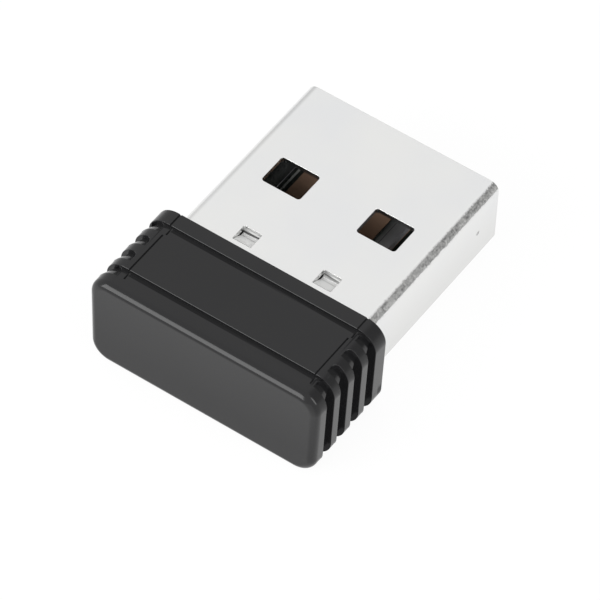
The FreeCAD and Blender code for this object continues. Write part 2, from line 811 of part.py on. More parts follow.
def make_all():
    """Every sub-part of the dongle, outside to inside."""
    parts = [
        make_housing(),
        make_plug_shell(),
        make_contact_carrier(),
        make_board_clamp(),
        make_circuit_board(),
        make_controller(),
        make_controller_leads(),
        make_board_lands(),
        make_component_solder(),
        make_shell_solder(),
    ]
    parts += make_fingers()
    for name in COMPONENTS:
        parts += make_component(name)
    return parts


def check_and_export(parts):
    """Stop on any failed feature or bad shape, then write one file a sub-part."""
    for item in doc.Objects:
        if "Invalid" in item.State or "Error" in item.State:
            raise RuntimeError("failed: " + item.Name)
    for part in parts:
        if part.Shape.isNull() or not part.Shape.isValid():
            raise RuntimeError("bad shape: " + part.Label)
    os.makedirs("parts", exist_ok=True)
    for part in parts:
        part.Shape.exportStep("parts/" + part.Label + ".step")
        box = part.Shape.BoundBox
        print("%-24s %2d solids %9.3f mm3  x %6.2f..%5.2f  y %6.2f..%5.2f  z %5.2f..%5.2f" % (
            part.Label, len(part.Shape.Solids), part.Shape.Volume,
            box.XMin, box.XMax, box.YMin, box.YMax, box.ZMin, box.ZMax))


doc.recompute()
check_and_export(make_all())
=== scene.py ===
# %% [markdown]
# # A nano mouse jiggler, dressed for its portrait
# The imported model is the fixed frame: it says where every piece is and how big it is.
# Everything here is built round it in the same coordinates, so nothing has to be fitted.
# The origin is where the plug's axis meets the shoulder of the black cap; +Y runs along
# the plug to its tip and +Z is up. We load the frame first and note its box, because the
# finished look has to stay inside it.

# %% Load the frame
import bmesh
import bpy
import math
from mathutils import Matrix, Vector


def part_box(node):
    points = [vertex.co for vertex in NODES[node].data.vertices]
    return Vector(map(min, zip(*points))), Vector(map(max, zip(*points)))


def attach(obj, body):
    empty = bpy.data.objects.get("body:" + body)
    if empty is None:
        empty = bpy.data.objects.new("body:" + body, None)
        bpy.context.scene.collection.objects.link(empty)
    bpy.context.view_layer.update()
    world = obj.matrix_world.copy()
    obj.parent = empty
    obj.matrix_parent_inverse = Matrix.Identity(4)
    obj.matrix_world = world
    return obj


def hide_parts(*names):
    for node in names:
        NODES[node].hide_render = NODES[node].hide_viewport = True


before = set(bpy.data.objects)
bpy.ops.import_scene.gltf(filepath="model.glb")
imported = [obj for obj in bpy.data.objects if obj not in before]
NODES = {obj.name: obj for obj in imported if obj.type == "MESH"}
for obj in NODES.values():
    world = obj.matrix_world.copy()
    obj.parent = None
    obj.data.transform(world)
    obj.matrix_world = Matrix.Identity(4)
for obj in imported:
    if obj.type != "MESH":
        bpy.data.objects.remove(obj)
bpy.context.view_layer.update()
print("nodes in the frame:", ", ".join(sorted(NODES)))

# %% [markdown]
# ## The camera
# A long lens far away keeps the sides of a small object nearly parallel. The camera is
# placed on a sphere round a target on the plug: its azimuth is counted from the view
# along +Y, its elevation from level, and a small roll turns the picture. Building the
# camera's three axes by hand, instead of tracking a target, lets us add that roll.

# %% Set up the camera
SENSOR_MM = 36.0
IMAGE_PX = 600
FOCAL_PX = 5298.9
AZIMUTH = math.radians(32.610)
ELEVATION = math.radians(50.046)
ROLL = math.radians(2.904)
DISTANCE = 0.273781
TARGET = Vector((0.0, 0.00205, 0.0))
SLIDE_RIGHT = 0.000335
SLIDE_UP = -0.001116

back = Vector((math.sin(AZIMUTH) * math.cos(ELEVATION),
               -math.cos(AZIMUTH) * math.cos(ELEVATION),
               math.sin(ELEVATION)))
level_right = Vector((math.cos(AZIMUTH), math.sin(AZIMUTH), 0.0))
level_up = back.cross(level_right)
right = math.cos(ROLL) * level_right + math.sin(ROLL) * level_up
up = math.cos(ROLL) * level_up - math.sin(ROLL) * level_right

camera_data = bpy.data.cameras.new("camera")
camera_data.sensor_width = SENSOR_MM
camera_data.lens = FOCAL_PX / IMAGE_PX * SENSOR_MM
camera_data.clip_start = 0.01
camera = bpy.data.objects.new("camera", camera_data)
bpy.context.scene.collection.objects.link(camera)
camera.rotation_euler = Matrix((right, up, back)).transposed().to_euler()
camera.location = TARGET + SLIDE_RIGHT * right + SLIDE_UP * up + DISTANCE * back
bpy.context.scene.camera = camera
print("lens %.1f mm at %.0f mm" % (camera_data.lens, DISTANCE * 1000))

# %% [markdown]
# ## A bench for the modelling
# Blender's tools have thresholds that suit objects of a metre or so, and this one is
# eighteen millimetres long. So each piece is modelled with one unit to the millimetre
# and made small at the very end. These helpers do what a hand does at the bench: clear
# the selection, take one piece, pick faces or edges by where they lie, cut with another
# piece, and put the piece away at its real size.

# %% Helpers for modelling in millimetres
MM = 0.001
NEAR = 1e-4
FACING = 0.9
FLAT_WITHIN = math.radians(0.3)


def take(piece):
    """Select one piece alone and make it the one that operators act on."""
    if bpy.context.object and bpy.context.object.mode != "OBJECT":
        bpy.ops.object.mode_set(mode="OBJECT")
    bpy.ops.object.select_all(action="DESELECT")
    piece.select_set(True)
    bpy.context.view_layer.objects.active = piece


def block(name, low, high):
    """A box between two corners in millimetres, with its place in its mesh."""
    bpy.ops.object.select_all(action="DESELECT")
    middle = [(a + b) / 2 for a, b in zip(low, high)]
    bpy.ops.mesh.primitive_cube_add(size=1, location=middle,
                                    scale=[b - a for a, b in zip(low, high)])
    piece = bpy.context.object
    piece.name = name
    bpy.ops.object.transform_apply(location=True, rotation=True, scale=True)
    return piece


def pick_edges(piece, wanted):
    """Open a piece in edit mode with the edges selected whose two ends pass a test."""
    take(piece)
    bpy.ops.object.mode_set(mode="EDIT")
    bpy.ops.mesh.select_mode(type="EDGE")
    bpy.ops.mesh.select_all(action="DESELECT")
    mesh = bmesh.from_edit_mesh(piece.data)
    for edge in mesh.edges:
        if wanted(edge.verts[0].co, edge.verts[1].co):
            edge.select_set(True)
    bmesh.update_edit_mesh(piece.data)


def pick_faces(piece, wanted):
    """Open a piece in edit mode with the faces selected whose middle passes a test."""
    take(piece)
    bpy.ops.object.mode_set(mode="EDIT")
    bpy.ops.mesh.select_mode(type="FACE")
    bpy.ops.mesh.select_all(action="DESELECT")
    mesh = bmesh.from_edit_mesh(piece.data)
    for face in mesh.faces:
        if wanted(face.calc_center_median(), face.normal):
            face.select_set(True)
    bmesh.update_edit_mesh(piece.data)


def done():
    bpy.ops.object.mode_set(mode="OBJECT")


def along_y(a, b):
    return abs(a.x - b.x) < NEAR and abs(a.z - b.z) < NEAR and abs(a.y - b.y) > NEAR


def upright(a, b):
    return abs(a.x - b.x) < NEAR and abs(a.y - b.y) < NEAR and abs(a.z - b.z) > NEAR


def at_end(y):
    """A test for edges that lie wholly in one plane across the Y axis."""
    return lambda a, b: abs(a.y - y) < NEAR and abs(b.y - y) < NEAR


def round_edges(piece, radius, segments, wanted):
    """Bevel the edges that pass a test into a round of the given radius."""
    pick_edges(piece, wanted)
    bpy.ops.mesh.bevel(offset=radius, offset_type="OFFSET", segments=segments,
                       profile=0.5, affect="EDGES", clamp_overlap=False)
    done()


def duplicate(piece, shift):
    """A copy with its own mesh, moved by a distance in millimetres."""
    take(piece)
    bpy.ops.object.duplicate()
    copy = bpy.context.object
    bpy.ops.transform.translate(value=shift)
    bpy.ops.object.transform_apply(location=True, rotation=True, scale=True)
    return copy


def apply_step(piece, step):
    take(piece)
    bpy.ops.object.modifier_apply(modifier=step.name)


def combine(piece, tool, how="DIFFERENCE"):
    """Cut a piece with a tool, or join the tool to it, and put the tool away."""
    step = piece.modifiers.new("combine", "BOOLEAN")
    step.operation = how
    step.solver = "EXACT"
    step.object = tool
    apply_step(piece, step)
    bpy.data.objects.remove(tool)


def tidy_mesh(piece):
    """Merge doubles and dissolve the seams that cuts leave across flat faces."""
    take(piece)
    bpy.ops.object.mode_set(mode="EDIT")
    bpy.ops.mesh.select_all(action="SELECT")
    bpy.ops.mesh.remove_doubles(threshold=NEAR)
    bpy.ops.mesh.dissolve_limited(angle_limit=FLAT_WITHIN)
    bpy.ops.mesh.normals_make_consistent(inside=False)
    done()


def soften(piece, width, segments=3, sharper_than=40):
    """Give every sharp edge the small round that a mould or a die leaves."""
    step = piece.modifiers.new("soft_edges", "BEVEL")
    step.width = width
    step.segments = segments
    step.limit_method = "ANGLE"
    step.angle_limit = math.radians(sharper_than)
    step.use_clamp_overlap = False
    step.miter_outer = "MITER_ARC"
    apply_step(piece, step)


def put_away(piece, replaced, smooth_below=38, crisp=None):
    """Shade a finished piece, bring it to real size and tell the frame about it."""
    take(piece)
    bpy.ops.object.shade_smooth_by_angle(angle=math.radians(smooth_below))
    if crisp:
        pick_edges(piece, crisp)
        bpy.ops.mesh.mark_sharp()
        done()
        take(piece)
    step = piece.modifiers.new("even_shading", "WEIGHTED_NORMAL")
    step.keep_sharp = True
    apply_step(piece, step)
    bpy.ops.transform.resize(value=(MM, MM, MM), center_override=(0, 0, 0))
    bpy.ops.object.transform_apply(location=True, rotation=True, scale=True)
    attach(piece, "root")
    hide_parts(replaced)
    print("%s: %d faces" % (piece.name, len(piece.data.polygons)))


def box_mm(node):
    """A node's lowest and highest corners, in millimetres."""
    low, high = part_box(node)
    return [v / MM for v in low], [v / MM for v in high]


# %% [markdown]
# ## The cap's block
# The black cap is moulded plastic. Its section is nearly a rectangle, but its short sides
# lean out a little towards the top, and its corners are generous. Its front edge has a
# clear round and its rear edge is almost crisp. We start from a box, stretch its top face
# and shrink its bottom one, bevel the four long edges, and then the loops round its ends.
# On a leaning corner a round reaches a little further on one face than its own radius.

# %% Shape the cap's block
CAP_WIDTH = 14.114
SIDE_LEAN = 0.13
CORNER_RADIUS = 1.2
FRONT_EDGE_RADIUS = 0.45
REAR_EDGE_RADIUS = 0.06
CORNER_STEPS = 18
FRONT_STEPS = 8
REAR_STEPS = 3

cap_low, cap_high = box_mm("housing")
half_width = CAP_WIDTH / 2
lean = SIDE_LEAN / (cap_high[2] - cap_low[2])
cap = block("cap", (-half_width, cap_low[1], cap_low[2]),
            (half_width, cap_high[1], cap_high[2]))
for up in (1, -1):
    pick_faces(cap, lambda middle, normal: normal.z * up > FACING)
    stretch = 1 + up * SIDE_LEAN / CAP_WIDTH
    bpy.ops.transform.resize(value=(stretch, 1, 1), center_override=(0, 0, 0))
    done()
for up in (1, -1):
    round_edges(cap, CORNER_RADIUS * (1 + up * lean), CORNER_STEPS,
                lambda a, b: along_y(a, b) and a.z * up > 0)
round_edges(cap, FRONT_EDGE_RADIUS, FRONT_STEPS, at_end(cap_low[1]))
round_edges(cap, REAR_EDGE_RADIUS, REAR_STEPS, at_end(cap_high[1]))
print("cap block:", len(cap.data.polygons), "faces")

# %% [markdown]
# ## Finger grooves
# Each short side has four upright grooves for the fingertips. One box cuts a groove at
# one end of the cap, and its copies cut the others. They stop short of the upper corners
# and reach down almost to the underside.

# %% Cut the grooves on the short sides
COLLAR_WIDTH = 0.93
GROOVE_PITCH = 1.226
GROOVE_COUNT = 4
GROOVE_WIDTH = 0.69
GROOVE_DEPTH = 0.6
GROOVE_END = {1: 0.6, -1: 0.12}
SPARE = 1.0

walls = [cap_high[1] - COLLAR_WIDTH - index * GROOVE_PITCH for index in range(GROOVE_COUNT)]


def cut_at_walls(cutter, at_walls):
    """Cut the cap with a tool made for the first wall, and with its copies at others."""
    copies = [duplicate(cutter, (0, wall - walls[0], 0)) for wall in at_walls
              if wall != walls[0]]
    for tool in [cutter] + copies:
        combine(cap, tool)


for side in (1, -1):
    ends = sorted((side * (half_width - GROOVE_DEPTH), side * (half_width + SPARE)))
    cutter = block("groove_cutter",
                   (ends[0], walls[0] - GROOVE_WIDTH, cap_low[2] + GROOVE_END[-1]),
                   (ends[1], walls[0], cap_high[2] - GROOVE_END[1]))
    for up in (1, -1):
        pick_faces(cutter, lambda middle, normal: normal.z * up > FACING)
        shift = side * up * (SIDE_LEAN / 2 - lean * GROOVE_END[up])
        bpy.ops.transform.translate(value=(shift, 0, 0))
        done()
    cut_at_walls(cutter, walls)
print("groove walls at y =", ", ".join("%.2f" % wall for wall in walls))

# %% [markdown]
# ## Ramps round the corners
# Beyond its deep part, every groove wraps the corner as a shallow ramp: deepest against
# its rear wall, and nothing at its front. Its tool is a four-sided face that Spin turns
# round the corner's own centre. A block with one rounded edge then trims the ring, which
# gives the ramp its rounded end on the top or the underside.

# %% Wrap the grooves round the corners
WRAP_DEPTH = 0.24
WRAP_END_RADIUS = 0.34
WRAP_END_STEPS = 10
RUN_OUT = {1: 0.31, -1: 0.1}
OVERRUN = 0.1
STEP_DEGREES = 5
WELL_PAST = 3 * CORNER_RADIUS


def flat_face(name, corners):
    """A piece with a single face through its corners."""
    mesh = bpy.data.meshes.new(name)
    mesh.from_pydata(corners, [], [list(range(len(corners)))])
    piece = bpy.data.objects.new(name, mesh)
    bpy.context.scene.collection.objects.link(piece)
    return piece


def wrap_cutter(side, up):
    """The tool for a ramp round one of the cap's long corners, at the first wall."""
    reach = CORNER_RADIUS * (1 + up * lean)
    centre_x = side * (half_width + up * SIDE_LEAN / 2 - reach)
    centre_z = cap_high[2] - CORNER_RADIUS if up > 0 else cap_low[2] + CORNER_RADIUS
    near = walls[0] - GROOVE_WIDTH * (1 + OVERRUN)
    radii = ((CORNER_RADIUS - WRAP_DEPTH, walls[0]),
             (CORNER_RADIUS + WRAP_DEPTH * OVERRUN, near),
             (CORNER_RADIUS + SPARE, near), (CORNER_RADIUS + SPARE, walls[0]))
    ring = flat_face("ring", [(centre_x + side * r, y, centre_z) for r, y in radii])
    take(ring)
    bpy.ops.object.mode_set(mode="EDIT")
    bpy.ops.mesh.select_all(action="SELECT")
    bpy.ops.mesh.spin(steps=90 // STEP_DEGREES, angle=side * up * math.radians(90),
                      center=(centre_x, 0, centre_z), axis=(0, 1, 0))
    bpy.ops.mesh.select_all(action="SELECT")
    bpy.ops.mesh.normals_make_consistent(inside=False)
    done()

    inner = centre_x + side * RUN_OUT[side]
    ends = sorted((inner, centre_x + side * WELL_PAST))
    trim = block("trim", (ends[0], near - SPARE, centre_z - WELL_PAST),
                 (ends[1], walls[0], centre_z + WELL_PAST))
    round_edges(trim, WRAP_END_RADIUS, WRAP_END_STEPS,
                lambda a, b: upright(a, b) and abs(a.x - inner) < NEAR
                and abs(a.y - walls[0]) < NEAR)
    combine(ring, trim, "INTERSECT")
    return ring


for side in (1, -1):
    for up in (1, -1):
        cut_at_walls(wrap_cutter(side, up), walls)
print("cap with wrapped grooves:", len(cap.data.polygons), "faces")

# %% [markdown]
# ## Cross grooves
# The first and the last groove go on over the top and the underside, where they are much
# shallower: a low step with a rounded rim, and a ramp that climbs back to the surface.
# The tool is that section, drawn as one face and extruded right across the cap.

# %% Cut the cross grooves
CROSS_WIDTH = 0.38
CROSS_DEPTH = 0.13
CROSS_RIM = 0.07
RIM_STEPS = 5

for level, up in ((cap_high[2], 1), (cap_low[2], -1)):
    section = [(walls[0] - CROSS_WIDTH, 0.0), (walls[0], -CROSS_DEPTH)]
    for index in range(RIM_STEPS + 1):
        turn = math.radians(90 * index / RIM_STEPS)
        section.append((walls[0] + CROSS_RIM * (1 - math.cos(turn)),
                        CROSS_RIM * (math.sin(turn) - 1)))
    section += [(walls[0] + CROSS_RIM, SPARE), (walls[0] - CROSS_WIDTH, SPARE)]
    far = half_width + SPARE
    cutter = flat_face("cross", [(-far, y, level + up * height) for y, height in section])
    take(cutter)
    bpy.ops.object.mode_set(mode="EDIT")
    bpy.ops.mesh.select_all(action="SELECT")
    bpy.ops.mesh.extrude_region_move(TRANSFORM_OT_translate={"value": (2 * far, 0, 0)})
    bpy.ops.mesh.select_all(action="SELECT")
    bpy.ops.mesh.normals_make_consistent(inside=False)
    done()
    cut_at_walls(cutter, (walls[0], walls[-1]))
print("cap with grooves:", len(cap.data.polygons), "faces")

# %% [markdown]
# ## The socket and the parting lines
# The cap is hollow, and the plug's shell stands in a socket in its rear face. The mould
# opened sideways as well, and its slides left a hairline along the top and underside,
# which steps aside at the grooves and is a little wider across the collar.

# %% Hollow the cap and cut its parting lines
SOCKET_CORNER = 0.5
SOCKET_STEPS = 6
SLIDE_OFFSET = 0.1
PARTING_WIDTH = 0.10
COLLAR_LINE_WIDTH = 0.13
PARTING_DEPTH = 0.10
PARTING_INSET = 1.29
LINE_START = 0.94
LINE_STEP_Y = -1.7
STEP_FRONT = 0.14
STEP_REAR = 0.06

shell_low, shell_high = box_mm("plug_shell")
socket = block("socket", shell_low, (shell_high[0], SPARE, shell_high[2]))
round_edges(socket, SOCKET_CORNER, SOCKET_STEPS, along_y)
combine(cap, socket)


def hairline(x, y_from, y_to, width=PARTING_WIDTH):
    """A fine cut along the top and the underside of the cap."""
    half = width / 2
    for level in (cap_low[2], cap_high[2]):
        combine(cap, block("hairline", (x - half, y_from, level - PARTING_DEPTH),
                           (x + half, y_to, level + PARTING_DEPTH)))


for side in (1, -1):
    line = SLIDE_OFFSET + side * (half_width - PARTING_INSET)
    hairline(line + STEP_FRONT, cap_low[1] + LINE_START, walls[-1] - PARTING_WIDTH)
    hairline(line, walls[-1], LINE_STEP_Y)
    hairline(line + STEP_FRONT, LINE_STEP_Y + PARTING_WIDTH, walls[0] - PARTING_WIDTH)
    hairline(line + side * STEP_REAR, walls[0], SPARE, COLLAR_LINE_WIDTH)
tidy_mesh(cap)
print("cap cut:", len(cap.data.polygons), "faces")

# %% [markdown]
# ## Soft edges
# No moulded edge is perfectly sharp, and the thin highlights along the ribs come from
# that. We pick the outer edges by their angle, leave out the hairlines, the socket and
# the shallow fronts of the ramps' ends, and bevel the rest by a few hundredths. The
# fronts of the ramps are so flat that smooth shading would blur them away, so those
# edges are marked sharp.

# %% Soften the cap's edges
SOFT_EDGE = 0.03
SOFT_EDGE_STEPS = 3
SHARPER_THAN = math.radians(40)
SHALLOW_FROM = 0.4
CROSS_WITHIN = 0.01
WRAP_WITHIN = 0.02
LONG_EDGE = 1.0

lines = [SLIDE_OFFSET + side * (half_width - PARTING_INSET) + step
         for side in (1, -1) for step in (0, STEP_FRONT, side * STEP_REAR)]
end_from = half_width - CORNER_RADIUS + min(RUN_OUT.values()) - WRAP_END_RADIUS
end_to = half_width - CORNER_RADIUS + max(RUN_OUT.values()) + WRAP_END_RADIUS


def worth_softening(edge):
    """An outer edge that isn't part of a hairline, a shallow run-out or the socket."""
    if not edge.is_manifold or not edge.is_convex or edge.calc_face_angle() < SHARPER_THAN:
        return False
    ends = [vert.co for vert in edge.verts]
    if all(min(abs(end.x - line) for line in lines) < PARTING_WIDTH for end in ends):
        return False
    behind = 0
    if max(end.y for end in ends) < walls[0] + NEAR:
        behind = min(wall - end.y for wall in walls for end in ends if wall - end.y > -NEAR)
    if behind > SHALLOW_FROM and all(end_from < abs(end.x) < end_to for end in ends):
        return False
    in_socket = [abs(end.x) < shell_high[0] + NEAR and abs(end.z) < shell_high[2] + NEAR
                 for end in ends]
    return not all(in_socket)


def near_rim(a, b):
    """The front edge of a ramp, where it comes back to the cap's surface."""
    widths = [wall - end.y for wall in walls for end in (a, b)]
    on_cross = [abs(width - CROSS_WIDTH) < CROSS_WITHIN for width in widths]
    on_wrap = [abs(width - GROOVE_WIDTH) < WRAP_WITHIN for width in widths]
    return (sum(on_cross) == 2 and abs(a.x - b.x) > LONG_EDGE) or sum(on_wrap) == 2


take(cap)
bpy.ops.object.mode_set(mode="EDIT")
bpy.ops.mesh.select_mode(type="EDGE")
bpy.ops.mesh.select_all(action="DESELECT")
mesh = bmesh.from_edit_mesh(cap.data)
for edge in mesh.edges:
    edge.select_set(worth_softening(edge))
bmesh.update_edit_mesh(cap.data)
bpy.ops.mesh.bevel(offset=SOFT_EDGE, offset_type="OFFSET", segments=SOFT_EDGE_STEPS,
                   profile=0.5, affect="EDGES", clamp_overlap=False)
done()
put_away(cap, "housing", crisp=near_rim)

# %% [markdown]
# ## The plug's shell
# The bright plug is one strip of nickel-plated steel, 0.3 mm thick, folded into a tube.
# We bevel the long edges of a box into the four bends, take its two ends away, and let
# Solidify give the skin its thickness inwards, as sheet metal has it.

# %% Fold the shell
SHEET = 0.3
BEND_RADIUS = 0.55
BEND_STEPS = 10

shell = block("shell", shell_low, shell_high)
round_edges(shell, BEND_RADIUS, BEND_STEPS, along_y)
pick_faces(shell, lambda middle, normal: abs(normal.y) > FACING)
bpy.ops.mesh.delete(type="FACE")
done()
sheet = shell.modifiers.new("sheet", "SOLIDIFY")
sheet.thickness = SHEET
sheet.offset = -1
sheet.use_even_offset = True
apply_step(shell, sheet)
print("shell tube:", len(shell.data.polygons), "faces")

# %% [markdown]
# ## Windows, lances and the fold's seam
# A port's springs snap into two square windows in each broad face. Nearer the cap, two
# small lances are sheared along their sides and pressed down to hold the plastic inside.
# A lance has a short flat lip at its low end, which catches the light, and the metal
# drawn down behind it makes a steep end wall. Underneath, the two edges of the strip
# meet in a fine seam.

# %% Punch the windows and press the lances
WINDOW_SPACING = 5.96
WINDOW_WIDTH = 2.42
WINDOW_LENGTH = 1.97
WINDOW_FROM_TIP = 5.1
WINDOW_CORNER = 0.18
WINDOW_STEPS = 5
LANCE_SPACING = 5.0
LANCE_WIDTH = 1.14
LANCE_LENGTH = 1.07
LANCE_FROM_TIP = 10.14
LANCE_DROP = 0.46
LANCE_LIP = 0.2
LANCE_SETBACK = 0.1
LANCE_CORNER = 0.1
LANCE_STEPS = 4
ROOT_LAP = 0.05
END_WALL = 0.05
TONGUE_EDGE = 0.03
SEAM_WIDTH = 0.08
PUNCHED_EDGE = 0.015
PUNCH_PAST = 0.1

tip = shell_high[1]
roof = shell_high[2]
window_far = tip - WINDOW_FROM_TIP
for side in (-1, 1):
    middle = side * WINDOW_SPACING / 2
    punch = block("punch",
                  [middle - WINDOW_WIDTH / 2, window_far - WINDOW_LENGTH, shell_low[2] - SPARE],
                  [middle + WINDOW_WIDTH / 2, window_far, roof + SPARE])
    round_edges(punch, WINDOW_CORNER, WINDOW_STEPS, upright)
    combine(shell, punch)

lance_end = tip - LANCE_FROM_TIP
lance_root = lance_end - LANCE_LENGTH
for side in (-1, 1):
    middle = side * LANCE_SPACING / 2
    punch = block("punch", [middle - LANCE_WIDTH / 2, lance_root, roof - SHEET - PUNCH_PAST],
                  [middle + LANCE_WIDTH / 2, lance_end, roof + SPARE])
    round_edges(punch, LANCE_CORNER, LANCE_STEPS,
                lambda a, b: upright(a, b) and abs(a.y - lance_end) < NEAR)
    combine(shell, punch)
slit = block("slit", [-SEAM_WIDTH / 2, shell_low[1] - SPARE, shell_low[2] - SPARE],
             [SEAM_WIDTH / 2, tip + SPARE, shell_low[2] + SHEET + PUNCH_PAST])
combine(shell, slit)
tidy_mesh(shell)
soften(shell, PUNCHED_EDGE, sharper_than=50)


def press_tongue(middle):
    """A strip that slopes down from the lance's root, a level lip, and a steep end."""
    crease = lance_end - LANCE_SETBACK - LANCE_LIP
    tongue = block("tongue",
                   [middle - LANCE_WIDTH / 2, lance_root - ROOT_LAP, roof - SHEET],
                   [middle + LANCE_WIDTH / 2, crease, roof])
    pick_faces(tongue, lambda centre, normal: normal.y > FACING)
    bpy.ops.transform.translate(value=(0, 0, -LANCE_DROP))
    bpy.ops.mesh.extrude_region_move(TRANSFORM_OT_translate={"value": (0, LANCE_LIP, 0)})
    rise = (0, LANCE_SETBACK + END_WALL, LANCE_DROP - END_WALL)
    bpy.ops.mesh.extrude_region_move(TRANSFORM_OT_translate={"value": rise})
    done()
    soften(tongue, TONGUE_EDGE, segments=2, sharper_than=60)
    return tongue


tongues = [press_tongue(side * LANCE_SPACING / 2) for side in (-1, 1)]
take(shell)
for tongue in tongues:
    tongue.select_set(True)
bpy.ops.object.join()
put_away(shell, "plug_shell")

# %% [markdown]
# ## Two effects that many finishes share
# Real surfaces are never quite even. The first group is a fine grain, in grains to the
# millimetre, that a finish can use for its roughness and its bump. The second is a slow
# cloud, as handling or plating leaves, for small shifts of tone. Both read Object
# coordinates, and because every piece lies at the origin they line up from piece to
# piece. They put out plain values, and each finish decides what to do with them.

# %% Build the shared node groups


def group_with(name, inputs, outputs):
    """A new shader node group with float inputs and outputs, and its two end nodes."""
    tree = bpy.data.node_groups.new(name, "ShaderNodeTree")
    for label, number in inputs:
        socket = tree.interface.new_socket(name=label, in_out="INPUT",
                                           socket_type="NodeSocketFloat")
        socket.default_value = number
    for label in outputs:
        tree.interface.new_socket(name=label, in_out="OUTPUT", socket_type="NodeSocketFloat")
    return tree, tree.nodes.new("NodeGroupInput"), tree.nodes.new("NodeGroupOutput")


def math_node(tree, operation, *numbers, clamp=False):
    """A Math node whose inputs are sockets or plain numbers."""
    node = tree.nodes.new("ShaderNodeMath")
    node.operation = operation
    node.use_clamp = clamp
    for socket, given in zip(node.inputs, numbers):
        if isinstance(given, (int, float)):
            socket.default_value = given
        else:
            tree.links.new(given, socket)
    return node.outputs[0]


def object_mm(tree):
    """Object coordinates in millimetres."""
    place = tree.nodes.new("ShaderNodeTexCoord")
    scale = tree.nodes.new("ShaderNodeVectorMath")
    scale.operation = "SCALE"
    scale.inputs["Scale"].default_value = 1 / MM
    tree.links.new(place.outputs["Object"], scale.inputs[0])
    return scale.outputs[0]


def axes_mm(tree):
    """The X, Y and Z of the object coordinates, in millimetres."""
    node = tree.nodes.new("ShaderNodeSeparateXYZ")
    tree.links.new(object_mm(tree), node.inputs[0])
    return node.outputs


def noise_node(tree, vector, scale, detail, rough=0.5):
    """A Noise texture's value on a vector, at a scale that may be a socket."""
    noise = tree.nodes.new("ShaderNodeTexNoise")
    noise.inputs["Detail"].default_value = detail
    noise.inputs["Roughness"].default_value = rough
    tree.links.new(vector, noise.inputs["Vector"])
    if isinstance(scale, (int, float)):
        noise.inputs["Scale"].default_value = scale
    else:
        tree.links.new(scale, noise.inputs["Scale"])
    return noise.outputs["Fac"]


def build_grain():
    """Roughness that wavers, and a height, from one fine noise."""
    tree, given, result = group_with(
        "fine_grain",
        [("Grains per mm", 8.0), ("Roughness", 0.3), ("Spread", 0.05)],
        ["Roughness", "Height"])
    noise = noise_node(tree, object_mm(tree), given.outputs["Grains per mm"], 3.0)
    centred = math_node(tree, "SUBTRACT", noise, 0.5)
    spread = math_node(tree, "MULTIPLY", centred, given.outputs["Spread"])
    rough = math_node(tree, "ADD", spread, given.outputs["Roughness"], clamp=True)
    tree.links.new(rough, result.inputs["Roughness"])
    tree.links.new(noise, result.inputs["Height"])
    return tree


def build_cloud():
    """A slow cloud from 0 to 1, sharpened a little."""
    tree, given, result = group_with("slow_cloud", [("Clouds per mm", 0.25)], ["Cloud"])
    noise = noise_node(tree, object_mm(tree), given.outputs["Clouds per mm"], 2.0)
    stretched = math_node(tree, "MULTIPLY_ADD", noise, 2.0, -0.5, clamp=True)
    tree.links.new(stretched, result.inputs["Cloud"])
    return tree


FINE_GRAIN = build_grain()
SLOW_CLOUD = build_cloud()
print("node groups:", FINE_GRAIN.name, SLOW_CLOUD.name)

# %% [markdown]
# ## The base of every finish
# All finishes here are a Principled shader whose roughness and bump come from the grain
# group and whose colour drifts a little between two tones with the cloud. One function
# sets that up; each real finish is then a few numbers, and the ones that need more get
# their extra nodes on top.

# %% A function for plain finishes


def mix_colours(tree, amount, first, second):
    """A colour between two, each a socket or three numbers, by an amount from 0 to 1."""
    node = tree.nodes.new("ShaderNodeMix")
    node.data_type = "RGBA"
    tree.links.new(amount, node.inputs["Factor"])
    for label, given in (("A", first), ("B", second)):
        if isinstance(given, tuple):
            node.inputs[label].default_value = (*given, 1.0)
        else:
            tree.links.new(given, node.inputs[label])
    return node.outputs["Result"]


def finish(name, tone, second_tone, roughness, spread=0.05, grains=8.0, bump=0.1,
           height_mm=0.01, metallic=0.0, clouds=0.25):
    """A Principled material with grain and a slow drift between two tones."""
    material = bpy.data.materials.new(name)
    material.use_nodes = True
    tree = material.node_tree
    shader = tree.nodes["Principled BSDF"]
    shader.inputs["Metallic"].default_value = metallic
    grain = tree.nodes.new("ShaderNodeGroup")
    grain.node_tree = FINE_GRAIN
    grain.inputs["Grains per mm"].default_value = grains
    grain.inputs["Roughness"].default_value = roughness
    grain.inputs["Spread"].default_value = spread
    tree.links.new(grain.outputs["Roughness"], shader.inputs["Roughness"])
    relief = tree.nodes.new("ShaderNodeBump")
    relief.inputs["Strength"].default_value = bump
    relief.inputs["Distance"].default_value = height_mm * MM
    tree.links.new(grain.outputs["Height"], relief.inputs["Height"])
    tree.links.new(relief.outputs["Normal"], shader.inputs["Normal"])
    cloud = tree.nodes.new("ShaderNodeGroup")
    cloud.node_tree = SLOW_CLOUD
    cloud.inputs["Clouds per mm"].default_value = clouds
    tones = mix_colours(tree, cloud.outputs["Cloud"], tone, second_tone)
    tree.links.new(tones, shader.inputs["Base Color"])
    return material


def dress(piece, material):
    """Put a material in every slot of a piece, and add a slot if it has none."""
    if not piece.material_slots:
        piece.data.materials.append(material)
    for slot in piece.material_slots:
        slot.material = material


# %% [markdown]
# ## Black plastic
# The cap is polished ABS: nearly black, so that almost all we see is the room reflected
# in it, faint when we look straight at a face and strong at a shallow angle. The shader's
# own Fresnel does that. A very fine grain keeps the reflections soft, and a slow cloud
# gives them the unevenness of a handled surface. The bright table spreads a faint haze
# over the blacks, which a breath of emission stands for.

# %% Finish the cap
HAZE = 0.006
PLASTIC_IOR = 1.39

